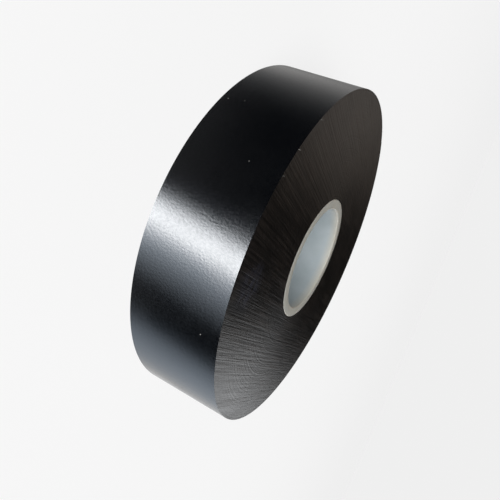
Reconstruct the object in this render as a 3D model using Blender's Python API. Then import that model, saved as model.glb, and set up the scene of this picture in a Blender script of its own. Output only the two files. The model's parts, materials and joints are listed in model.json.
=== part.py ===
"""A roll of electrical tape, lying flat: a plastic core tube, the tape wound on it, and the free end.

The roll's axis is +Z and its lower face lies on z = 0. The strip is modelled as the wound turns,
the last turn over them, and the last stretch of that turn, which peels off in short segments
hinged one to the next. Each segment's origin is on its hinge axis.
"""

from math import cos, pi, radians, sin

import bmesh
import bpy
from mathutils import Matrix, Vector

# Driving dimensions, in metres and degrees.
TAPE_WIDTH = 0.019
ROLL_DIAMETER = 0.0808
FILM_THICKNESS = 0.00013
CORE_BORE = 0.0254
CORE_WALL = 0.0024
CORE_CHAMFER = 0.0003
TAIL_START = 96.0  # where the last turn stops being stuck down, from +X towards +Y
TAIL_STEP = 10.0  # the arc of the roll that one segment of the free end covers
TAIL_SEGMENTS = 6

# Clearances.
GAP = 0.0003  # between pieces that touch on the real roll
SKIN_INSET = 0.0001  # the outer film stops this far short of the roll's two faces

# Facets on a full circle.
CORE_FACETS = 96
ROLL_FACETS = 144

# What follows from the sizes above.
ROLL_RADIUS = ROLL_DIAMETER / 2
SKIN_INNER = ROLL_RADIUS - FILM_THICKNESS
WOUND_OUTER = SKIN_INNER - GAP
CORE_OUTER = CORE_BORE / 2 + CORE_WALL
WOUND_INNER = CORE_OUTER + GAP
HINGE_RADIUS = ROLL_RADIUS - FILM_THICKNESS / 2
GAP_ANGLE = GAP / HINGE_RADIUS  # the arc, in radians, that one gap takes along the film


def clear_scene():
    for thing in list(bpy.data.objects):
        bpy.data.objects.remove(thing, do_unlink=True)


def plastic(name, colour, roughness):
    """A plain Principled material of one colour."""
    material = bpy.data.materials.new(name)
    material.use_nodes = True
    shader = material.node_tree.nodes["Principled BSDF"]
    shader.inputs["Base Color"].default_value = (*colour, 1.0)
    shader.inputs["Roughness"].default_value = roughness
    shader.inputs["Metallic"].default_value = 0.0
    return material


def add_object(name, mesh, material):
    mesh.shade_smooth()
    mesh.set_sharp_from_angle(angle=radians(30))
    mesh.materials.append(material)
    piece = bpy.data.objects.new(name, mesh)
    bpy.context.scene.collection.objects.link(piece)
    return piece


def turned_ring(name, profile, facets, material):
    """A ring turned about Z from a closed profile of (radius, height) points."""
    shape = bmesh.new()
    corners = [shape.verts.new((radius, 0.0, height)) for radius, height in profile]
    for near, far in zip(corners, corners[1:] + corners[:1]):
        shape.edges.new((near, far))
    mesh = bpy.data.meshes.new(name)
    shape.to_mesh(mesh)
    shape.free()
    piece = add_object(name, mesh, material)
    screw = piece.modifiers.new("turn", "SCREW")
    screw.axis = "Z"
    screw.angle = 2 * pi
    screw.steps = facets
    screw.render_steps = facets
    screw.use_merge_vertices = True
    screw.merge_threshold = 0.00001
    return piece


def film_band(name, start, end, centre, material):
    """A strip of film bent round the roll, from angle start to end in radians, about centre."""
    low, high = SKIN_INSET, TAPE_WIDTH - SKIN_INSET
    outline = [(SKIN_INNER, low), (ROLL_RADIUS, low), (ROLL_RADIUS, high), (SKIN_INNER, high)]
    shape = bmesh.new()
    turn = Matrix.Rotation(start, 4, "Z")
    corners = [shape.verts.new(turn @ Vector((radius, 0.0, z))) for radius, z in outline]
    end_face = shape.faces.new(corners)
    steps = max(2, round((end - start) / (2 * pi) * ROLL_FACETS))
    bmesh.ops.spin(
        shape,
        geom=[end_face, *end_face.edges, *corners],
        cent=(0.0, 0.0, 0.0),
        axis=(0.0, 0.0, 1.0),
        angle=end - start,
        steps=steps,
    )
    bmesh.ops.recalc_face_normals(shape, faces=shape.faces)
    bmesh.ops.translate(shape, verts=shape.verts, vec=centre)
    mesh = bpy.data.meshes.new(name)
    shape.to_mesh(mesh)
    shape.free()
    return add_object(name, mesh, material)


def core_tube(material):
    """The plastic tube in the middle, with a small chamfer on all four rims."""
    bore, outer, cut = CORE_BORE / 2, CORE_OUTER, CORE_CHAMFER
    profile = [
        (outer, TAPE_WIDTH - cut),
        (outer, cut),
        (outer - cut, 0.0),
        (bore + cut, 0.0),
        (bore, cut),
        (bore, TAPE_WIDTH - cut),
        (bore + cut, TAPE_WIDTH),
        (outer - cut, TAPE_WIDTH),
    ]
    return turned_ring("core_tube", profile, CORE_FACETS, material)


def wound_tape(material):
    """All the turns under the last one, as one ring with square slit edges."""
    profile = [
        (WOUND_OUTER, TAPE_WIDTH),
        (WOUND_OUTER, 0.0),
        (WOUND_INNER, 0.0),
        (WOUND_INNER, TAPE_WIDTH),
    ]
    return turned_ring("wound_tape", profile, ROLL_FACETS, material)


def outer_turn(material):
    """The stuck part of the last turn: all of the circle that the free end leaves."""
    tail_arc = radians(TAIL_STEP) * TAIL_SEGMENTS
    start = radians(TAIL_START) + tail_arc + GAP_ANGLE / 2 - 2 * pi
    end = radians(TAIL_START) - GAP_ANGLE / 2
    return film_band("outer_turn", start, end, (0.0, 0.0, 0.0), material)


def tail(material):
    """The free end: each segment is a child of the one before it, turned one step further."""
    step = radians(TAIL_STEP)
    first = radians(TAIL_START)
    to_next = (HINGE_RADIUS * (cos(step) - 1), HINGE_RADIUS * sin(step), 0.0)
    before = None
    for number in range(1, TAIL_SEGMENTS + 1):
        start, end = GAP_ANGLE / 2, step - GAP_ANGLE / 2
        segment = film_band(f"tail_{number}", start, end, (-HINGE_RADIUS, 0.0, 0.0), material)
        if before is None:
            segment.location = (HINGE_RADIUS * cos(first), HINGE_RADIUS * sin(first), 0.0)
            segment.rotation_euler = (0.0, 0.0, first)
        else:
            segment.parent = before
            segment.location = to_next
            segment.rotation_euler = (0.0, 0.0, step)
        before = segment


def main():
    clear_scene()
    core_plastic = plastic("core_plastic", (0.55, 0.57, 0.55), 0.4)
    slit_vinyl = plastic("slit_vinyl", (0.02, 0.018, 0.018), 0.6)
    film_vinyl = plastic("film_vinyl", (0.012, 0.012, 0.014), 0.35)
    core_tube(core_plastic)
    wound_tape(slit_vinyl)
    outer_turn(film_vinyl)
    tail(film_vinyl)


main()
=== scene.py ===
"""A full roll of black vinyl electrical tape on a white plastic core, lying on a pale floor.

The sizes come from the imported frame. Each operator makes one group of pieces, and main() runs
them in order.
"""

import json
from math import atan2, cos, hypot, pi, radians, sin, tau

import bmesh
import bpy
from bpy.props import FloatProperty, FloatVectorProperty, IntProperty, PointerProperty, StringProperty
from mathutils import Euler, Matrix, Vector


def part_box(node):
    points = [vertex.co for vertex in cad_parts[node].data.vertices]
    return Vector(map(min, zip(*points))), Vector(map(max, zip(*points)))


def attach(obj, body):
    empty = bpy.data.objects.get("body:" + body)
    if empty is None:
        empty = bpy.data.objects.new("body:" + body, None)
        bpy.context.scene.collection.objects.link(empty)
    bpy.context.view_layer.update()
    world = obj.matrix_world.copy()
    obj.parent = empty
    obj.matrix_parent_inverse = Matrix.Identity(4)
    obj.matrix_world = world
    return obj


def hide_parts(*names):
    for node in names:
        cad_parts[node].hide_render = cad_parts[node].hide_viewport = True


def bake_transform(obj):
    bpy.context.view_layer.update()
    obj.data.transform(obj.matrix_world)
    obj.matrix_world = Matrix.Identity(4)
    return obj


bl_info = {
    "name": "Electrical Tape Roll",
    "version": (1, 0, 0),
    "blender": (4, 5, 0),
    "location": "3D View > Sidebar > Tape Roll",
    "description": "Builds a roll of vinyl electrical tape with a free end that peels",
    "category": "Object",
}

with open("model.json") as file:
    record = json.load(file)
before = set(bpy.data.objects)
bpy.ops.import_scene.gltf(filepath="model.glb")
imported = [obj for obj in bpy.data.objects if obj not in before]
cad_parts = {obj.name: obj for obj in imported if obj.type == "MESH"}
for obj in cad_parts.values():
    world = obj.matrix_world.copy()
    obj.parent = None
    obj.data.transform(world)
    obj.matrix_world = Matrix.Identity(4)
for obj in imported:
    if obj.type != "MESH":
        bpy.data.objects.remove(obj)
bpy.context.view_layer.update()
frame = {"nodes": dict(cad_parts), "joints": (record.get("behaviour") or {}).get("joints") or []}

MM = 0.001


def radii(node):
    """The smallest and the largest distance of a CAD node's corners from the roll's axis."""
    found = [hypot(v.co.x, v.co.y) for v in frame["nodes"][node].data.vertices]
    return min(found), max(found)


# The roll's sizes, as the CAD model has them. Its axis is Z, and it lies on z = 0.
TAPE_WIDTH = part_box("wound_tape")[1].z
BORE_RADIUS, CORE_RADIUS = radii("core_tube")
SKIN_INNER, ROLL_RADIUS = radii("outer_turn")
FILM = ROLL_RADIUS - SKIN_INNER

# The free end's hinges, from the first to the last, and where the tape stops.
HINGES = [atan2(joint["pos_m"][1], joint["pos_m"][0]) for joint in frame["joints"]]
HINGE_STEP = HINGES[1] - HINGES[0]
TAPE_END = HINGES[-1] + HINGE_STEP
TAIL_BODIES = [joint["child"] for joint in frame["joints"]]

HAIR = 0.002 * MM  # clearance between films that lie on each other, too small to see
WOUND_RADIUS = ROLL_RADIUS - 3 * FILM  # under the last two turns and the step that a spiral makes

# Kinds of node that come up often.
MATH = "ShaderNodeMath"
MIX = "ShaderNodeMix"
VECTORS = "ShaderNodeVectorMath"
REMAP = "ShaderNodeMapRange"
NOISE = "ShaderNodeTexNoise"


class RollSizes(bpy.types.PropertyGroup):
    """Sizes of the roll that the frame doesn't settle."""

    turns: IntProperty(
        name="Turns",
        description="Turns of tape between the core and the last two turns",
        default=192,
        min=4,
    )
    turn_sides: IntProperty(
        name="Sides of a Turn",
        description="Straight sides that one turn is made of",
        default=112,
        min=24,
    )
    groove_depth: FloatProperty(
        name="Groove Depth",
        description="How far the adhesive between two turns lies below the slit edge of the film",
        default=0.010 * MM,
        unit="LENGTH",
        precision=6,
    )
    edge_wander: FloatProperty(
        name="Edge Wander",
        description="How far a turn may lie below the face of the roll",
        default=0.025 * MM,
        unit="LENGTH",
        precision=6,
    )
    rim_round: FloatProperty(
        name="Rim Rounding",
        description="Radius of the rounded rims of the core",
        default=0.3 * MM,
        unit="LENGTH",
        precision=6,
    )
    end_wave: FloatProperty(
        name="Cut End Waviness",
        description="How far the cut end of the tape strays from a straight line",
        default=0.12 * MM,
        unit="LENGTH",
        precision=6,
    )
    flecks: IntProperty(
        name="Edge Flecks",
        description="Slivers of film left standing on the upper rim by the slitting knife",
        default=16,
        min=0,
    )


class RollColours(bpy.types.PropertyGroup):
    """Colours of the roll's materials, as sRGB hex values."""

    film: StringProperty(name="Film", description="Face side of the vinyl film", default="#040507")
    slit: StringProperty(name="Slit Edge", description="Slit edges of the winding", default="#0a0807")
    slit_pale: StringProperty(
        name="Slit Edge, Worn", description="Paler, worn parts of the slit edges", default="#26201c"
    )
    scuff: StringProperty(name="Scuff", description="Rubbed place near the rim", default="#32333d")
    pit: StringProperty(name="Pits", description="Pits in the slit edges", default="#080706")
    adhesive: StringProperty(
        name="Adhesive", description="Rubber adhesive on the inner side of the film", default="#16120f"
    )
    dust: StringProperty(name="Dust", description="Dust specks and stretched vinyl", default="#93928e")
    fleck: StringProperty(name="Flecks", description="Flecks of half-stretched vinyl", default="#4a4a48")
    core: StringProperty(name="Core", description="Milky plastic of the core", default="#b1b9bd")
    core_shade: StringProperty(
        name="Core, Clouded", description="Clouded parts of the core's plastic", default="#959fa2"
    )
    # painted glow: the ends' warmer tone stands in for light that leaves the plastic there
    core_end_glow: StringProperty(name="Core, Ends", description="Sawn ends of the core", default="#b8b6ad")
    floor: StringProperty(name="Floor", description="Pale floor under the roll", default="#787878")


class StageSettings(bpy.types.PropertyGroup):
    """The camera's place and the stage around the roll."""

    lens: FloatProperty(name="Lens", description="Focal length", default=32.97, unit="CAMERA")
    shift: FloatVectorProperty(name="Shift", description="Lens shift", size=2, default=(-0.0876, -0.035))
    reach: FloatProperty(
        name="Distance",
        description="Camera's distance from the roll's axis, in roll radii",
        default=2.636,
    )
    height: FloatProperty(
        name="Height",
        description="Camera's height above the upper face, in roll radii",
        default=0.698,
    )
    pitch: FloatProperty(
        name="Pitch",
        description="How far the camera looks down",
        subtype="ANGLE",
        default=radians(18.53),
    )
    yaw: FloatProperty(
        name="Yaw",
        description="How far the camera looks to the left of the roll's axis",
        subtype="ANGLE",
        default=radians(2.055),
    )
    roll: FloatProperty(
        name="Roll",
        description="How far the camera is turned about its own line of sight",
        subtype="ANGLE",
        default=radians(112.77),
    )
    floor_radius: FloatProperty(
        name="Floor Radius",
        description="Radius of the floor",
        default=6.0,
        unit="LENGTH",
    )


def linear(hex_colour, gain=1.0):
    """An sRGB hex value as linear red, green, blue and alpha, with its light times a gain."""
    shares = [int(hex_colour[i : i + 2], 16) / 255 for i in (1, 3, 5)]
    plain = [c / 12.92 if c <= 0.04045 else ((c + 0.055) / 1.055) ** 2.4 for c in shares]
    return (*[c * gain for c in plain], 1.0)


def add(tree, kind, feeds=(), **settings):
    """Adds a node to a tree.

    feeds maps an input's name or number to a value, a socket or a node, or lists them in order.
    """
    node = tree.nodes.new(kind)
    for name, value in settings.items():
        setattr(node, name, value)
    named = feeds if isinstance(feeds, dict) else dict(enumerate(feeds))
    for place, feed in named.items():
        if isinstance(feed, bpy.types.Node):
            feed = feed.outputs[0]
        if isinstance(feed, bpy.types.NodeSocket):
            tree.links.new(feed, node.inputs[place])
        else:
            node.inputs[place].default_value = feed
    return node


def finished(name, mesh, body):
    """A finished piece at the origin that rides on a body."""
    piece = bpy.data.objects.new(name, mesh)
    bpy.context.scene.collection.objects.link(piece)
    if body:
        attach(piece, body)
    return piece


def faced(shape, name, sharp=radians(35)):
    """A mesh from a bmesh, with its faces pointing out and shaded smooth."""
    bmesh.ops.recalc_face_normals(shape, faces=shape.faces)
    mesh = bpy.data.meshes.new(name)
    shape.to_mesh(mesh)
    shape.free()
    mesh.shade_smooth()
    mesh.set_sharp_from_angle(angle=sharp)
    return mesh


# Materials


def new_material(name):
    """A new material, its tree, its Principled shader and the piece's own coordinates.

    When the material is there already, the other three are None.
    """
    material = bpy.data.materials.get(name)
    if material:
        return material, None, None, None
    material = bpy.data.materials.new(name)
    material.use_nodes = True
    tree = material.node_tree
    place = add(tree, "ShaderNodeTexCoord").outputs["Object"]
    return material, tree, tree.nodes["Principled BSDF"], place


def scale_for(size_in_mm):
    """The texture scale that gives features of this size on coordinates in metres."""
    return 1 / (size_in_mm * MM)


def film_material():
    """Plasticised PVC film, calendered: satin black, with a fine grain pressed in by the rollers.

    The grain breaks up the edge of a highlight, and faint streaks run along the tape.
    """
    material, tree, shader, place = new_material("calendered_pvc_film")
    if tree is None:
        return material
    colours = bpy.context.scene.roll_colours
    # The rollers' grain is about 0.05 mm. It is drawn at 0.36 mm and longer across the tape, so
    # that it shows.
    across = add(tree, "ShaderNodeMapping", {"Vector": place, "Scale": (1.0, 1.0, 0.75)})
    grain = add(tree, NOISE, {"Vector": across, "Scale": scale_for(0.36), "Detail": 4.0})
    # Streaks from the rollers run along the tape, about 0.4 mm wide and 20 mm long.
    drawn = add(tree, "ShaderNodeMapping", {"Vector": place, "Scale": (0.02, 0.02, 1.0)})
    streaks = add(tree, NOISE, {"Vector": drawn, "Scale": scale_for(0.4), "Detail": 2.0})
    # Slow changes of gloss, about 9 mm across, from how tightly each stretch was wound.
    gloss = add(tree, NOISE, {"Vector": place, "Scale": scale_for(9.0), "Detail": 2.0})
    # Dust: specks of about 0.2 mm in three of ten cells of 4 mm. Those that the film's side cuts
    # show.
    cells = add(tree, "ShaderNodeTexVoronoi", {"Vector": place, "Scale": scale_for(4.0)})
    near = add(
        tree,
        REMAP,
        {
            "Value": cells.outputs["Distance"],
            "From Min": 0.018,
            "From Max": 0.034,
            "To Min": 1.0,
            "To Max": 0.0,
        },
    )
    clean_share = 0.7
    chosen = add(tree, "ShaderNodeSeparateColor", [cells.outputs["Color"]])
    some = add(tree, MATH, [chosen, clean_share], operation="GREATER_THAN")
    specks = add(tree, MATH, [near, some], operation="MULTIPLY")
    # One larger speck of 0.24 mm, by itself.
    speck_angle = radians(-105.0)
    speck_height = 12.5 * MM
    speck_radius = 0.12 * MM
    speck = (ROLL_RADIUS * cos(speck_angle), ROLL_RADIUS * sin(speck_angle), speck_height)
    from_speck = add(tree, VECTORS, [place, speck], operation="DISTANCE")
    on_speck = add(tree, MATH, [from_speck.outputs["Value"], speck_radius], operation="LESS_THAN")
    dust = add(tree, MATH, [specks, on_speck], operation="MAXIMUM")
    deep = add(
        tree,
        MIX,
        {"Factor": streaks, "A": linear(colours.film), "B": linear(colours.film, 1.5)},
        data_type="RGBA",
    )
    dusty = add(
        tree,
        MIX,
        {"Factor": dust, "A": deep.outputs["Result"], "B": linear(colours.dust)},
        data_type="RGBA",
    )
    wound = add(
        tree,
        REMAP,
        {"Value": gloss, "From Min": 0.3, "From Max": 0.7, "To Min": 0.185, "To Max": 0.235},
    )
    grain_swing = 0.16  # the change in roughness from the bottom of the grain to its top
    grainy = add(tree, MATH, [grain, grain_swing, wound], operation="MULTIPLY_ADD")
    rough = add(tree, MATH, [grainy, -grain_swing / 2], operation="ADD")
    streak_height = 0.12  # beside the grain's
    relief = add(tree, MATH, [streaks, streak_height, grain], operation="MULTIPLY_ADD")
    bump = add(tree, "ShaderNodeBump", {"Height": relief, "Strength": 0.8, "Distance": 0.018 * MM})
    tree.links.new(dusty.outputs["Result"], shader.inputs["Base Color"])
    tree.links.new(rough.outputs[0], shader.inputs["Roughness"])
    tree.links.new(bump.outputs[0], shader.inputs["Normal"])
    shader.inputs["IOR"].default_value = 1.54
    return material


def slit_material():
    """Slit vinyl edges: the cut ends of film and adhesive, matt and warm black.

    The knife leaves straight parallel marks across the face, the turns leave fine rings, and
    handling leaves pits and a scuff.
    """
    material, tree, shader, place = new_material("slit_pvc_edges")
    if tree is None:
        return material
    colours = bpy.context.scene.roll_colours
    knife_angle = radians(-9.0)
    # The knife's marks are about 0.1 mm apart. They are drawn at 0.45 mm, so that they show.
    turned = add(tree, "ShaderNodeMapping", {"Vector": place, "Rotation": (0.0, 0.0, -knife_angle)})
    drawn = add(tree, "ShaderNodeMapping", {"Vector": turned, "Scale": (1.0, 0.02, 0.0)})
    marks = add(tree, NOISE, {"Vector": drawn, "Scale": scale_for(0.45), "Detail": 2.0, "Roughness": 0.6})
    # One film and its adhesive are 0.13 mm. Groups of two or three turns show as rings of 0.3 mm.
    across = add(tree, VECTORS, [place, (1.0, 1.0, 0.0)], operation="MULTIPLY")
    radius = add(tree, VECTORS, [across], operation="LENGTH")
    rings = add(
        tree,
        NOISE,
        {"W": radius.outputs["Value"], "Scale": scale_for(0.3), "Detail": 1.0},
        noise_dimensions="1D",
    )
    blotches = add(tree, NOISE, {"Vector": place, "Scale": scale_for(7.0), "Detail": 4.0})
    crumbs = add(tree, NOISE, {"Vector": place, "Scale": scale_for(0.8), "Detail": 5.0})
    # Pits of up to 1 mm where adhesive was pulled out, one in each cell of 5 mm. Those that the
    # face cuts show.
    cells = add(tree, "ShaderNodeTexVoronoi", {"Vector": place, "Scale": scale_for(5.0)})
    pits = add(tree, REMAP, {"Value": cells.outputs["Distance"], "From Min": 0.05, "From Max": 0.11})
    # A scuff near the rim, where the roll was rubbed. It fades out from the first radius to the
    # second. Its strokes are about 0.5 mm wide and 3 mm long, across the knife's marks.
    scuff_place = (9.1 * MM, -32.7 * MM, TAPE_WIDTH)
    scuff_full = 2.0 * MM
    scuff_gone = 5.5 * MM
    away = add(tree, VECTORS, [place, scuff_place], operation="DISTANCE")
    rubbed = add(
        tree,
        REMAP,
        {
            "Value": away.outputs["Value"],
            "From Min": scuff_full,
            "From Max": scuff_gone,
            "To Min": 1.0,
            "To Max": 0.0,
        },
    )
    stroked = add(tree, "ShaderNodeMapping", {"Vector": turned, "Scale": (0.17, 1.0, 0.0)})
    strokes = add(tree, NOISE, {"Vector": stroked, "Scale": scale_for(0.5), "Detail": 2.0})
    torn = add(tree, REMAP, {"Value": strokes, "From Min": 0.42, "From Max": 0.68})
    scuff = add(tree, MATH, [rubbed, torn], operation="MULTIPLY")
    crisp = add(tree, REMAP, {"Value": marks, "From Min": 0.45, "From Max": 0.58})
    mark_tone = 0.5  # beside the rings'
    crossed = add(tree, MATH, [crisp, mark_tone, rings], operation="MULTIPLY_ADD")
    lined = add(tree, REMAP, {"Value": crossed, "From Min": 0.4, "From Max": 1.1})
    patchy = add(tree, REMAP, {"Value": blotches, "From Min": 0.35, "From Max": 0.65, "To Min": 0.3})
    worn = add(tree, MATH, [lined, patchy], operation="MULTIPLY")
    tone = add(
        tree,
        MIX,
        {"Factor": worn, "A": linear(colours.slit), "B": linear(colours.slit_pale)},
        data_type="RGBA",
    )
    scuffed = add(
        tree,
        MIX,
        {"Factor": scuff, "A": tone.outputs["Result"], "B": linear(colours.scuff)},
        data_type="RGBA",
    )
    pitted = add(
        tree,
        MIX,
        {"Factor": pits, "A": linear(colours.pit), "B": scuffed.outputs["Result"]},
        data_type="RGBA",
    )
    rough = add(
        tree, REMAP, {"Value": marks, "From Min": 0.3, "From Max": 0.7, "To Min": 0.29, "To Max": 0.4}
    )
    mark_height, crumb_height = 3.0, 0.8  # beside the rings'
    grooves = add(tree, MATH, [marks, mark_height, rings], operation="MULTIPLY_ADD")
    relief = add(tree, MATH, [crumbs, crumb_height, grooves], operation="MULTIPLY_ADD")
    bump = add(tree, "ShaderNodeBump", {"Height": relief, "Strength": 0.8, "Distance": 0.022 * MM})
    tree.links.new(pitted.outputs["Result"], shader.inputs["Base Color"])
    tree.links.new(rough.outputs[0], shader.inputs["Roughness"])
    tree.links.new(bump.outputs[0], shader.inputs["Normal"])
    shader.inputs["IOR"].default_value = 1.5
    shader.inputs["Specular IOR Level"].default_value = 0.36
    # Light spreads across the turns more than along them.
    shader.inputs["Anisotropic"].default_value = 0.4
    shader.inputs["Anisotropic Rotation"].default_value = 0.25
    tangent = add(tree, "ShaderNodeTangent", direction_type="RADIAL", axis="Z")
    tree.links.new(tangent.outputs[0], shader.inputs["Tangent"])
    return material


def adhesive_material():
    """Pressure-sensitive rubber adhesive: dark, tacky and uneven, with a wet-looking sheen."""
    material, tree, shader, place = new_material("rubber_adhesive")
    if tree is None:
        return material
    colours = bpy.context.scene.roll_colours
    # The coating's pattern of small pulled-up peaks is about 0.6 mm.
    peaks = add(tree, NOISE, {"Vector": place, "Scale": scale_for(0.6), "Detail": 4.0})
    patches = add(tree, NOISE, {"Vector": place, "Scale": scale_for(6.0), "Detail": 2.0})
    tone = add(
        tree,
        MIX,
        {"Factor": patches, "A": linear(colours.adhesive), "B": linear(colours.adhesive, 2.0)},
        data_type="RGBA",
    )
    rough = add(
        tree, REMAP, {"Value": patches, "From Min": 0.3, "From Max": 0.7, "To Min": 0.32, "To Max": 0.5}
    )
    bump = add(tree, "ShaderNodeBump", {"Height": peaks, "Strength": 0.5, "Distance": 0.03 * MM})
    tree.links.new(tone.outputs["Result"], shader.inputs["Base Color"])
    tree.links.new(rough.outputs[0], shader.inputs["Roughness"])
    tree.links.new(bump.outputs[0], shader.inputs["Normal"])
    shader.inputs["IOR"].default_value = 1.52
    return material


def core_material():
    """Milky polypropylene, extruded and sawn to length: it lets a little light in.

    The bore is smooth with faint lines along it, and the sawn ends are duller and painted warmer, for the
    light that leaves them.
    """
    material, tree, shader, place = new_material("milky_polypropylene")
    if tree is None:
        return material
    colours = bpy.context.scene.roll_colours
    clouds = add(tree, NOISE, {"Vector": place, "Scale": scale_for(5.0), "Detail": 3.0})
    # Lines from the extruder's die run along the bore, about 0.8 mm apart.
    drawn = add(tree, "ShaderNodeMapping", {"Vector": place, "Scale": (1.0, 1.0, 0.03)})
    die_lines = add(tree, NOISE, {"Vector": drawn, "Scale": scale_for(0.8), "Detail": 2.0})
    # Saw marks of about 0.3 mm on the end rings.
    sawn = add(tree, NOISE, {"Vector": place, "Scale": scale_for(0.3), "Detail": 3.0})
    # Painted light: the ends are painted warmer than the bore, for light that soaks into the wall and
    # leaves at its ends. The painted warmth begins at the first distance from an end and is full at the
    # second.
    warm_from, warm_full = 2.2 * MM, 0.2 * MM
    middle = TAPE_WIDTH / 2
    split = add(tree, "ShaderNodeSeparateXYZ", [place])
    above = add(tree, MATH, [split.outputs[2], -middle], operation="ADD")
    off_middle = add(tree, MATH, [above], operation="ABSOLUTE")
    # where the painted warm glow of the ends shows
    end_glow = add(
        tree,
        REMAP,
        {"Value": off_middle, "From Min": middle - warm_from, "From Max": middle - warm_full},
    )
    bore = add(
        tree,
        MIX,
        {"Factor": clouds, "A": linear(colours.core), "B": linear(colours.core_shade)},
        data_type="RGBA",
    )
    tone = add(
        tree,
        MIX,
        {"Factor": end_glow, "A": bore.outputs["Result"], "B": linear(colours.core_end_glow)},
        data_type="RGBA",
    )
    rough = add(
        tree, REMAP, {"Value": die_lines, "From Min": 0.3, "From Max": 0.7, "To Min": 0.34, "To Max": 0.46}
    )
    line_height = 2.0  # beside the saw marks'
    relief = add(tree, MATH, [die_lines, line_height, sawn], operation="MULTIPLY_ADD")
    bump = add(tree, "ShaderNodeBump", {"Height": relief, "Strength": 0.3, "Distance": 0.03 * MM})
    tree.links.new(tone.outputs["Result"], shader.inputs["Base Color"])
    tree.links.new(rough.outputs[0], shader.inputs["Roughness"])
    tree.links.new(bump.outputs[0], shader.inputs["Normal"])
    shader.inputs["IOR"].default_value = 1.49
    shader.inputs["Subsurface Weight"].default_value = 0.25
    shader.inputs["Subsurface Radius"].default_value = (1.0, 0.85, 0.7)
    shader.inputs["Subsurface Scale"].default_value = 1.2 * MM
    return material


def stretched_material():
    """Vinyl that the knife has stretched: it turns pale grey where it is drawn thin."""
    material, tree, shader, place = new_material("stretched_pvc")
    if tree is None:
        return material
    colours = bpy.context.scene.roll_colours
    # The vinyl turns white in patches of about 0.1 mm.
    drawn = add(tree, NOISE, {"Vector": place, "Scale": scale_for(0.1), "Detail": 2.0})
    tone = add(
        tree,
        MIX,
        {"Factor": drawn, "A": linear(colours.fleck), "B": linear(colours.dust)},
        data_type="RGBA",
    )
    rough = add(tree, REMAP, {"Value": drawn, "To Min": 0.4, "To Max": 0.6})
    tree.links.new(tone.outputs["Result"], shader.inputs["Base Color"])
    tree.links.new(rough.outputs[0], shader.inputs["Roughness"])
    return material


def floor_material():
    """Matt painted board, pale and even. It glows, so that the roll throws only a faint shadow."""
    material, tree, shader, place = new_material("matt_painted_board")
    if tree is None:
        return material
    colours = bpy.context.scene.roll_colours
    # The paint's tone changes by one in a hundred over patches of 40 mm.
    paint = add(tree, NOISE, {"Vector": place, "Scale": scale_for(40.0), "Detail": 2.0})
    tone = add(
        tree,
        MIX,
        {"Factor": paint, "A": linear(colours.floor), "B": linear(colours.floor, 0.99)},
        data_type="RGBA",
    )
    tree.links.new(tone.outputs["Result"], shader.inputs["Base Color"])
    shader.inputs["Roughness"].default_value = 0.9
    shader.inputs["Specular IOR Level"].default_value = 0.0
    shader.inputs["Emission Color"].default_value = (1.0, 1.0, 1.0, 1.0)
    shader.inputs["Emission Strength"].default_value = 0.8
    return material


# The winding and the flecks, by geometry nodes


def new_tree(name, inputs):
    """A geometry node tree with named inputs of each kind, and the inputs' own sockets."""
    tree = bpy.data.node_groups.new(name, "GeometryNodeTree")
    tree.is_modifier = True
    for kind, labels in inputs.items():
        for label in labels:
            tree.interface.new_socket(name=label, in_out="INPUT", socket_type=kind)
    tree.interface.new_socket(name="Geometry", in_out="OUTPUT", socket_type="NodeSocketGeometry")
    return tree, add(tree, "NodeGroupInput").outputs


def on_circle(tree, radius, angle, height):
    """The place at this radius, angle and height about the roll's axis."""
    cosine = add(tree, MATH, [angle], operation="COSINE")
    sine = add(tree, MATH, [angle], operation="SINE")
    x = add(tree, MATH, [radius, cosine], operation="MULTIPLY")
    y = add(tree, MATH, [radius, sine], operation="MULTIPLY")
    return add(tree, "ShaderNodeCombineXYZ", [x, y, height])


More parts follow.
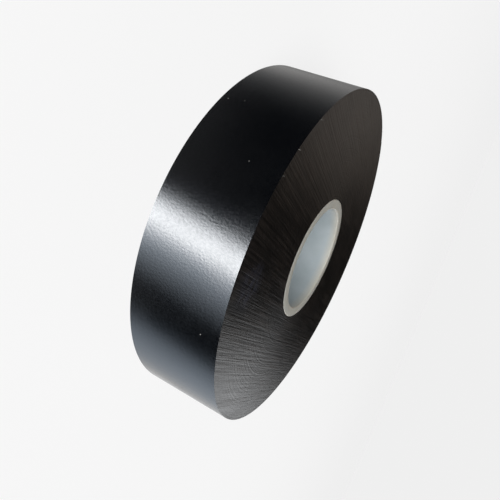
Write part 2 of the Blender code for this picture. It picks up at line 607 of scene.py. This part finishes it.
def winding_tree():
    """A node tree for tape wound in a spiral: a closed ring with both faces showing every turn.

    A grid is bent round the axis. Its columns go round the roll. Its rows go outwards on the
    upper face and back inwards on the lower one, two rows to a turn: the film's slit edge and
    the groove beside it. Each row moves out by one turn on its way round.
    """
    tree, given = new_tree(
        "wound turns",
        {
            "NodeSocketFloat": (
                "Inner Radius",
                "Outer Radius",
                "Width",
                "Start Angle",
                "Edge Wander",
                "Groove Depth",
            ),
            "NodeSocketInt": ("Turns", "Sides", "Seed"),
            "NodeSocketMaterial": ("Slit Material", "Film Material"),
        },
    )
    spare_rows = 3.0  # they are clamped to the inner and outer radius, to close the spiral's ends
    rows = add(tree, MATH, [given["Turns"], 2.0, spare_rows], operation="MULTIPLY_ADD")
    both = add(tree, MATH, [rows, 2.0], operation="MULTIPLY")
    wall = add(tree, MATH, [given["Outer Radius"], given["Inner Radius"]], operation="SUBTRACT")
    pitch = add(tree, MATH, [wall, given["Turns"]], operation="DIVIDE")
    columns = add(tree, MATH, [given["Sides"], 1.0], operation="ADD")
    lines = add(tree, MATH, [both, 1.0], operation="ADD")
    grid = add(
        tree,
        "GeometryNodeMeshGrid",
        {"Size X": 1.0, "Size Y": 1.0, "Vertices X": columns, "Vertices Y": lines},
    )
    uv = add(tree, "ShaderNodeSeparateXYZ", [grid.outputs["UV Map"]])
    turn_share = uv.outputs[0]
    counted = add(tree, MATH, [uv.outputs[1], both], operation="MULTIPLY")
    whole = add(tree, MATH, [counted], operation="ROUND")
    row = add(tree, MATH, [whole, both], operation="MODULO")  # the last row closes on the first
    last_upper = add(tree, MATH, [rows, 0.5], operation="SUBTRACT")
    below = add(tree, MATH, [row, last_upper], operation="GREATER_THAN")
    last_row = add(tree, MATH, [both, 1.0], operation="SUBTRACT")
    mirrored = add(tree, MATH, [last_row, row], operation="SUBTRACT")
    level = add(tree, MIX, {"Factor": below, "A": row, "B": mirrored}, data_type="FLOAT")
    spiral = add(tree, MATH, [level, 0.5, turn_share], operation="MULTIPLY_ADD")
    outwards = add(tree, MATH, [spiral, 1.0], operation="SUBTRACT")
    wanted = add(tree, MATH, [outwards, pitch, given["Inner Radius"]], operation="MULTIPLY_ADD")
    at_least = add(tree, MATH, [wanted, given["Inner Radius"]], operation="MAXIMUM")
    radius = add(tree, MATH, [at_least, given["Outer Radius"]], operation="MINIMUM")
    tolerance = 1e-7
    inside = add(tree, MATH, [wanted, radius, tolerance], operation="COMPARE")
    odd = add(tree, MATH, [level, 2.0], operation="MODULO")
    groove = add(tree, MATH, [odd, inside], operation="MULTIPLY")
    # Each turn lies at its own height, and so do looser groups of about three turns.
    turn = add(tree, MATH, [radius, pitch], operation="DIVIDE")
    lane = add(tree, "ShaderNodeCombineXYZ", [turn, below, given["Seed"]])
    wander = add(tree, NOISE, {"Vector": lane, "Scale": 0.31, "Detail": 3.0})
    sunk = add(tree, MATH, [wander, given["Edge Wander"]], operation="MULTIPLY")
    low = add(tree, MATH, [groove, given["Groove Depth"], sunk], operation="MULTIPLY_ADD")
    top = add(tree, MATH, [given["Width"], low], operation="SUBTRACT")
    height = add(tree, MIX, {"Factor": below, "A": top, "B": low}, data_type="FLOAT")
    angle = add(tree, MATH, [turn_share, tau, given["Start Angle"]], operation="MULTIPLY_ADD")
    place = on_circle(tree, radius, angle, height)
    bent = add(tree, "GeometryNodeSetPosition", {"Geometry": grid, "Position": place})
    closed = add(tree, "GeometryNodeMergeByDistance", {"Geometry": bent, "Distance": 0.0005 * MM})
    smooth = add(tree, "GeometryNodeSetShadeSmooth", {"Geometry": closed, "Shade Smooth": True})
    slit = add(tree, "GeometryNodeSetMaterial", {"Geometry": smooth, "Material": given["Slit Material"]})
    # The upright faces in the last hundredth of the radius are the film's outer side.
    where = add(tree, "GeometryNodeInputPosition")
    flat = add(tree, VECTORS, [where, (1.0, 1.0, 0.0)], operation="MULTIPLY")
    from_axis = add(tree, VECTORS, [flat], operation="LENGTH").outputs["Value"]
    outer_share = 0.99
    edge = add(tree, MATH, [given["Outer Radius"], outer_share], operation="MULTIPLY")
    outer = add(tree, MATH, [from_axis, edge], operation="GREATER_THAN")
    facing = add(tree, "ShaderNodeSeparateXYZ", [add(tree, "GeometryNodeInputNormal")])
    rise = add(tree, MATH, [facing.outputs[2]], operation="ABSOLUTE")
    upright = add(tree, MATH, [rise, 0.5], operation="LESS_THAN")
    outer_side = add(tree, "FunctionNodeBooleanMath", [upright, outer], operation="AND")
    film = add(
        tree,
        "GeometryNodeSetMaterial",
        {"Geometry": slit, "Selection": outer_side, "Material": given["Film Material"]},
    )
    single = add(tree, "GeometryNodeRealizeInstances", {"Geometry": film})
    add(tree, "NodeGroupOutput", [single])
    return tree


def fleck_tree():
    """A node tree for slivers of film that stand on a rim, at random places and in random sizes."""
    tree, given = new_tree(
        "rim flecks",
        {
            "NodeSocketFloat": ("Radius", "Height", "Length", "Thickness"),
            "NodeSocketInt": ("Count", "Seed"),
            "NodeSocketMaterial": ("Material",),
        },
    )
    # The lowest and highest place on the rim, lean along it, lean across it and size.
    ranges = ((0.0, tau), (-1.3, 1.3), (-0.5, 0.5), (0.5, 1.0))
    draws = []
    for number, (lowest, highest) in enumerate(ranges, 1):
        seed = add(tree, MATH, [given["Seed"], float(number)], operation="ADD")
        feeds = {"Seed": seed, 2: lowest, 3: highest}
        draws.append(add(tree, "FunctionNodeRandomValue", feeds, data_type="FLOAT").outputs[1])
    angle, lean_along, lean_across, size = draws
    place = on_circle(tree, given["Radius"], angle, given["Height"])
    points = add(tree, "GeometryNodePoints", {"Count": given["Count"], "Position": place})
    tip_share = 0.3
    tip = add(tree, MATH, [given["Thickness"], tip_share], operation="MULTIPLY")
    sliver = add(
        tree,
        "GeometryNodeMeshCone",
        {
            "Vertices": 6,
            "Side Segments": 3,
            "Radius Top": tip,
            "Radius Bottom": given["Thickness"],
            "Depth": given["Length"],
        },
    )
    lean = add(tree, "ShaderNodeCombineXYZ", [lean_along, lean_across, angle])
    placed = add(
        tree,
        "GeometryNodeInstanceOnPoints",
        {"Points": points, "Instance": sliver, "Rotation": lean, "Scale": size},
    )
    single = add(tree, "GeometryNodeRealizeInstances", {"Geometry": placed})
    painted = add(tree, "GeometryNodeSetMaterial", {"Geometry": single, "Material": given["Material"]})
    add(tree, "NodeGroupOutput", [painted])
    return tree


def grown(name, tree, values):
    """The plain mesh that a node tree makes from its named inputs."""
    seed = bpy.data.objects.new(name, bpy.data.meshes.new(name))
    bpy.context.scene.collection.objects.link(seed)
    modifier = seed.modifiers.new(name, "NODES")
    modifier.node_group = tree
    for socket in tree.interface.items_tree:
        if socket.item_type == "SOCKET" and socket.in_out == "INPUT":
            modifier[socket.identifier] = values[socket.name]
    graph = bpy.context.evaluated_depsgraph_get()
    mesh = bpy.data.meshes.new_from_object(seed.evaluated_get(graph))
    bpy.data.objects.remove(seed)
    mesh.name = name
    return mesh


# The film that lies on the winding


def surface_radius(angle):
    """The film's outer side: one film further in for each full turn before the tape's end."""
    return ROLL_RADIUS - FILM * (TAPE_END - angle) / tau


def under_radius(angle):
    """The film's inner side, with its adhesive: it lies on the turn below, but for a hair."""
    return surface_radius(angle) - FILM + HAIR


def cut_stray(height):
    """How the cut end strays at a height, as a share of its waviness: a slow and a quick wave."""
    across = height / TAPE_WIDTH
    return sin(across * 9.0) + 0.6 * sin(across * 23.0 + 1.0)


def film_band(name, start, end, inner_radius, outer_radius, wave=0.0):
    """A closed strip of film round the roll, from angle start to end, over the tape's width.

    The two radii are functions of the angle. wave bends the strip's last edge out of line.
    """
    side_arc = radians(1.0)
    sides = max(2, round((end - start) / side_arc))
    rows = 12
    heights = [TAPE_WIDTH * row / rows for row in range(rows + 1)]
    shape = bmesh.new()
    rings = []
    for side in range(sides + 1):
        ring = []
        for inward in (False, True):
            for height in reversed(heights) if inward else heights:
                angle = start + (end - start) * side / sides
                if side == sides:
                    angle += wave * cut_stray(height) / ROLL_RADIUS
                radius = inner_radius(angle) if inward else outer_radius(angle)
                ring.append(shape.verts.new((radius * cos(angle), radius * sin(angle), height)))
        rings.append(ring)
    outer_side, inner_side, cut_side = range(3)
    for near, far in zip(rings, rings[1:]):
        for place in range(len(near)):
            after = (place + 1) % len(near)
            face = shape.faces.new((near[place], near[after], far[after], far[place]))
            face.material_index = outer_side if place < rows else inner_side
            if place in (rows, 2 * rows + 1):
                face.material_index = cut_side
    for ring in (rings[0], rings[-1]):
        shape.faces.new(ring).material_index = cut_side
    mesh = faced(shape, name)
    for material in (film_material(), adhesive_material(), slit_material()):
        mesh.materials.append(material)
    return mesh


class CoreOperator(bpy.types.Operator):
    """Make the plastic core, with rounded rims and sawn ends"""

    bl_idname = "tape_roll.core"
    bl_label = "Core"

    def execute(self, context):
        sizes = context.scene.roll_sizes
        cut = sizes.rim_round
        arc_sides = 5
        facets = 192
        profile = []
        # Each rim's centre, and the angle at which its arc starts, on the way round the wall.
        rims = (
            (CORE_RADIUS - cut, cut, -pi / 2),
            (CORE_RADIUS - cut, TAPE_WIDTH - cut, 0.0),
            (BORE_RADIUS + cut, TAPE_WIDTH - cut, pi / 2),
            (BORE_RADIUS + cut, cut, pi),
        )
        for centre, height, first in rims:
            for step in range(arc_sides + 1):
                angle = first + pi / 2 * step / arc_sides
                profile.append((centre + cut * cos(angle), 0.0, height + cut * sin(angle)))
        shape = bmesh.new()
        corners = [shape.verts.new(point) for point in profile]
        edges = [shape.edges.new((a, b)) for a, b in zip(corners, corners[1:] + corners[:1])]
        bmesh.ops.spin(
            shape,
            geom=corners + edges,
            cent=(0.0, 0.0, 0.0),
            axis=(0.0, 0.0, 1.0),
            angle=tau,
            steps=facets,
            use_merge=True,
        )
        bmesh.ops.remove_doubles(shape, verts=shape.verts, dist=0.001 * MM)
        mesh = faced(shape, "core", sharp=radians(50))
        mesh.materials.append(core_material())
        core = finished("core", mesh, "roll")
        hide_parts("core_tube")
        return {"FINISHED"}


class WindingOperator(bpy.types.Operator):
    """Make the wound turns, with every turn's slit edge showing on both faces"""

    bl_idname = "tape_roll.winding"
    bl_label = "Winding"

    def execute(self, context):
        sizes = context.scene.roll_sizes
        values = {
            "Inner Radius": CORE_RADIUS,
            "Outer Radius": WOUND_RADIUS,
            "Width": TAPE_WIDTH,
            "Start Angle": TAPE_END,
            "Edge Wander": sizes.edge_wander,
            "Groove Depth": sizes.groove_depth,
            "Turns": sizes.turns,
            "Sides": sizes.turn_sides,
            "Seed": 7,
            "Slit Material": slit_material(),
            "Film Material": film_material(),
        }
        mesh = grown("winding", winding_tree(), values)
        shape = bmesh.new()
        shape.from_mesh(mesh)
        bmesh.ops.recalc_face_normals(shape, faces=shape.faces)
        shape.to_mesh(mesh)
        shape.free()
        mesh.set_sharp_from_angle(angle=radians(50))
        winding = finished("winding", mesh, "roll")
        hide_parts("wound_tape")
        return {"FINISHED"}


class FilmOperator(bpy.types.Operator):
    """Make the last turn but one and the stuck part of the last turn"""

    bl_idname = "tape_roll.film"
    bl_label = "Last Turns"

    def execute(self, context):
        under = film_band(
            "turn_under",
            TAPE_END - 2 * tau,
            TAPE_END - tau - HAIR / ROLL_RADIUS,
            lambda angle: WOUND_RADIUS + HAIR,
            surface_radius,
        )
        finished("turn_under", under, "roll")
        tail_start = HINGES[0] - HINGE_STEP / 2
        stuck = film_band("last_turn", TAPE_END - tau, tail_start, under_radius, surface_radius)
        last = finished("last_turn", stuck, "roll")
        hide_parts("outer_turn")
        return {"FINISHED"}


class TailOperator(bpy.types.Operator):
    """Make the free end, as stretches that each lie across one hinge"""

    bl_idname = "tape_roll.tail"
    bl_label = "Free End"

    def execute(self, context):
        sizes = context.scene.roll_sizes
        last = len(HINGES) - 1
        for number, hinge in enumerate(HINGES):
            start, beyond = hinge - HINGE_STEP / 2, hinge + HINGE_STEP / 2
            end = TAPE_END if number == last else beyond
            wave = sizes.end_wave if number == last else 0.0
            name = f"free_end_{number + 1}"
            mesh = film_band(name, start, end, under_radius, surface_radius, wave)
            stretch = finished(name, mesh, None)
            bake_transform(stretch)
            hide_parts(TAIL_BODIES[number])
        return {"FINISHED"}


class FleckOperator(bpy.types.Operator):
    """Make the slivers of film that the slitting knife left on the upper rim"""

    bl_idname = "tape_roll.flecks"
    bl_label = "Edge Flecks"

    def execute(self, context):
        sizes = context.scene.roll_sizes
        values = {
            "Radius": ROLL_RADIUS - 1.5 * FILM,  # on the edges of the last turns
            "Height": TAPE_WIDTH,
            "Length": 0.4 * MM,
            "Thickness": 0.05 * MM,
            "Count": sizes.flecks,
            "Seed": 3,
            "Material": stretched_material(),
        }
        finished("edge_flecks", grown("edge_flecks", fleck_tree(), values), "roll")
        return {"FINISHED"}


# The studio's walls: the direction in degrees, from +X towards +Y, how bright a wall is there, and
# how warm its light is, from -1 for bluish to 1 for brownish. The outer film mirrors the low walls,
# and the roll's upper face the high ones.
LOW_WALLS = (
    (-180.0, 0.05, -0.2),
    (-162.0, 0.0, 0.0),
    (-147.0, 0.0, 0.0),
    (-117.0, 0.0, 0.0),
    (-101.0, 0.03, -0.3),
    (-92.0, 0.15, -0.7),
    (-85.5, 1.5, -0.7),
    (-80.5, 20.0, -0.2),
    (-69.0, 27.0, -0.1),
    (-64.0, 10.0, -0.4),
    (-55.0, 4.6, -0.6),
    (-47.0, 2.4, -0.6),
    (-38.0, 0.9, -0.6),
    (-33.0, 0.0, 0.0),
    (-14.0, 0.0, 0.0),
    (-8.0, 0.2, -0.9),
    (4.0, 1.3, -0.7),
    (17.0, 1.4, -0.6),
    (30.0, 1.1, -0.4),
    (43.0, 0.9, 0.0),
    (60.0, 1.1, 0.0),
    (76.0, 1.2, 0.0),
    (84.0, 6.0, 0.0),
    (94.0, 6.0, 0.0),
    (102.0, 0.6, 0.0),
    (119.0, 0.33, 0.1),
    (131.0, 0.6, 0.1),
    (144.0, 0.6, 0.1),
    (157.0, 0.38, 0.0),
    (170.0, 0.17, -0.1),
)
HIGH_WALLS = (
    (-180.0, 0.4, 0.5),
    (-105.0, 0.6, 0.0),
    (-85.0, 5.0, 0.0),
    (-65.0, 5.0, 0.0),
    (-45.0, 0.6, 0.0),
    (0.0, 0.7, 0.0),
    (40.0, 1.6, -0.1),
    (62.0, 3.6, -0.1),
    (68.0, 3.2, -0.1),
    (72.0, 2.3, -0.1),
    (75.0, 0.75, 0.0),
    (77.5, 0.1, 0.0),
    (80.0, 0.0, 0.0),
    (94.0, 0.0, 0.5),
    (98.5, 0.12, 1.0),
    (103.0, 0.42, 1.0),
    (108.0, 0.6, 0.8),
    (120.0, 0.7, 0.5),
    (145.0, 0.5, 0.5),
)
WARM = (1.0, 0.86, 0.74)  # light at a warmth of 1
COOL = (0.6, 0.78, 1.0)  # light at a warmth of -1


def wall_colours(tree, share, walls):
    """The walls' brightness by direction, as a colour ramp scaled up to the brightest wall."""
    brightest = max(level for _, level, _ in walls)
    ramp = add(tree, "ShaderNodeValToRGB", [share])
    ramp.color_ramp.interpolation = "EASE"
    stops = ramp.color_ramp.elements
    while len(stops) > 1:
        stops.remove(stops[-1])
    for number, (direction, level, warmth) in enumerate((*walls, (180.0, *walls[0][1:]))):
        position = (direction + 180.0) / 360.0
        stop = stops[0] if number == 0 else stops.new(position)
        tint = WARM if warmth > 0 else COOL
        shares = [1.0 - abs(warmth) * (1.0 - c) for c in tint]
        stop.position = position
        stop.color = (*[c * level / brightest for c in shares], 1.0)
    return add(tree, VECTORS, {0: ramp, "Scale": brightest}, operation="SCALE")


def studio_world():
    """Studio walls all round with bright strips, a dim dome above and a pale backdrop."""
    world = bpy.data.worlds.new("studio")
    world.use_nodes = True
    tree = world.node_tree
    tree.nodes.clear()
    direction = add(tree, "ShaderNodeTexCoord").outputs["Generated"]
    split = add(tree, "ShaderNodeSeparateXYZ", [direction])
    lift = split.outputs[2]
    angle = add(tree, MATH, [split.outputs[1], split.outputs[0]], operation="ARCTAN2")
    share = add(tree, REMAP, {"Value": angle, "From Min": -pi, "From Max": pi})
    # The low strips lean, so that a highlight on the film isn't quite in line with the roll's
    # axis. They cross the directions that LOW_WALLS gives at a lift of about -0.5.
    lean = -0.11
    offset = -0.054
    leaning = add(tree, MATH, [lift, lean, share], operation="MULTIPLY_ADD")
    shifted = add(tree, MATH, [leaning, offset], operation="ADD")
    wrapped = add(tree, MATH, [shifted, 0.0, 1.0], operation="WRAP")
    strips = wall_colours(tree, wrapped, LOW_WALLS)
    # Below the strips there is a faint glow.
    glow = add(
        tree,
        REMAP,
        {"Value": lift, "From Min": -0.5, "From Max": -0.6, "To Min": 0.0, "To Max": 0.3},
    )
    low = add(tree, VECTORS, [strips, glow], operation="ADD")
    # Low down straight behind the roll the high wall is dark.
    height = add(
        tree,
        REMAP,
        {"Value": lift, "From Min": 0.2, "From Max": 0.3, "To Min": 0.02, "To Max": 1.0},
    )
    behind = add(tree, REMAP, {"Value": split.outputs[1], "From Min": 0.6, "From Max": 0.8})
    shade = add(tree, MIX, {"Factor": behind, "A": 1.0, "B": height}, data_type="FLOAT")
    upper = wall_colours(tree, share, HIGH_WALLS)
    high = add(tree, VECTORS, {0: upper, "Scale": shade}, operation="SCALE")
    # The low walls end just under the horizon, and a dim dome begins half way up.
    raised = add(tree, REMAP, {"Value": lift, "From Min": -0.2, "From Max": -0.06})
    walls = add(tree, MIX, {"Factor": raised, "A": low, "B": high}, data_type="RGBA")
    overhead = add(tree, REMAP, {"Value": lift, "From Min": 0.4, "From Max": 0.6})
    dome = (0.02, 0.021, 0.022, 1.0)
    room = add(
        tree,
        MIX,
        {"Factor": overhead, "A": walls.outputs["Result"], "B": dome},
        data_type="RGBA",
    )
    light = add(tree, "ShaderNodeBackground", {"Color": room.outputs["Result"], "Strength": 1.0})
    pale = (0.865, 0.865, 0.865, 1.0)
    backdrop = add(tree, "ShaderNodeBackground", {"Color": pale, "Strength": 1.0})
    seen = add(tree, "ShaderNodeLightPath").outputs["Is Camera Ray"]
    both = add(tree, "ShaderNodeMixShader", [seen, light, backdrop])
    add(tree, "ShaderNodeOutputWorld", [both])
    return world


def softbox(name, place, target, size, power):
    """A square softbox that faces its target."""
    lamp = bpy.data.lights.new(name, "AREA")
    lamp.shape = "SQUARE"
    lamp.size = size
    lamp.energy = power
    holder = bpy.data.objects.new(name, lamp)
    bpy.context.scene.collection.objects.link(holder)
    holder.location = place
    holder.rotation_euler = (Vector(target) - Vector(place)).to_track_quat("-Z", "Y").to_euler()


class StageOperator(bpy.types.Operator):
    """Make the floor, the light and the camera"""

    bl_idname = "tape_roll.stage"
    bl_label = "Stage"

    def execute(self, context):
        stage = context.scene.roll_stage
        shape = bmesh.new()
        bmesh.ops.create_circle(shape, cap_ends=True, segments=96, radius=stage.floor_radius)
        floor_mesh = bpy.data.meshes.new("floor")
        shape.to_mesh(floor_mesh)
        shape.free()
        floor_mesh.materials.append(floor_material())
        floor = bpy.data.objects.new("floor", floor_mesh)
        floor.visible_glossy = False  # the roll mirrors the studio's walls and not the floor
        context.scene.collection.objects.link(floor)
        context.scene.world = studio_world()
        softbox(
            "overhead_softbox",
            place=(0.22, -0.42, 0.6),
            target=(0.0, 0.0, TAPE_WIDTH),
            size=0.5,
            power=2.8,
        )
        self.add_camera(context, stage)
        context.scene.view_settings.view_transform = "Standard"
        return {"FINISHED"}

    def add_camera(self, context, stage):
        lens = bpy.data.cameras.new("camera")
        lens.lens = stage.lens
        lens.shift_x, lens.shift_y = stage.shift
        lens.clip_start = 0.005
        camera = bpy.data.objects.new("camera", lens)
        context.scene.collection.objects.link(camera)
        camera.location = (
            0.0,
            -stage.reach * ROLL_RADIUS,
            TAPE_WIDTH + stage.height * ROLL_RADIUS,
        )
        aim = Euler((pi / 2 - stage.pitch, 0.0, stage.yaw)).to_matrix()
        camera.rotation_euler = (aim @ Matrix.Rotation(stage.roll, 3, "Z")).to_euler()
        context.scene.camera = camera


class RollPanel(bpy.types.Panel):
    """Sizes, colours and pieces of the tape roll"""

    bl_idname = "VIEW3D_PT_tape_roll"
    bl_label = "Tape Roll"
    bl_space_type = "VIEW_3D"
    bl_region_type = "UI"
    bl_category = "Tape Roll"

    def draw(self, context):
        for group in GROUPS:
            settings = getattr(context.scene, group)
            box = self.layout.box()
            for name in settings.__annotations__:
                box.prop(settings, name)
        for operator in OPERATORS:
            self.layout.operator(operator.bl_idname)


GROUPS = {"roll_sizes": RollSizes, "roll_colours": RollColours, "roll_stage": StageSettings}
OPERATORS = (CoreOperator, WindingOperator, FilmOperator, TailOperator, FleckOperator, StageOperator)


def register():
    for made in (*GROUPS.values(), *OPERATORS, RollPanel):
        bpy.utils.register_class(made)
    for name, group in GROUPS.items():
        setattr(bpy.types.Scene, name, PointerProperty(type=group))


def unregister():
    for name in GROUPS:
        delattr(bpy.types.Scene, name)
    for made in reversed((*GROUPS.values(), *OPERATORS, RollPanel)):
        bpy.utils.unregister_class(made)


def main():
    register()
    for operator in OPERATORS:
        group, name = operator.bl_idname.split(".")
        getattr(getattr(bpy.ops, group), name)()


if __name__ == "__main__":
    main()
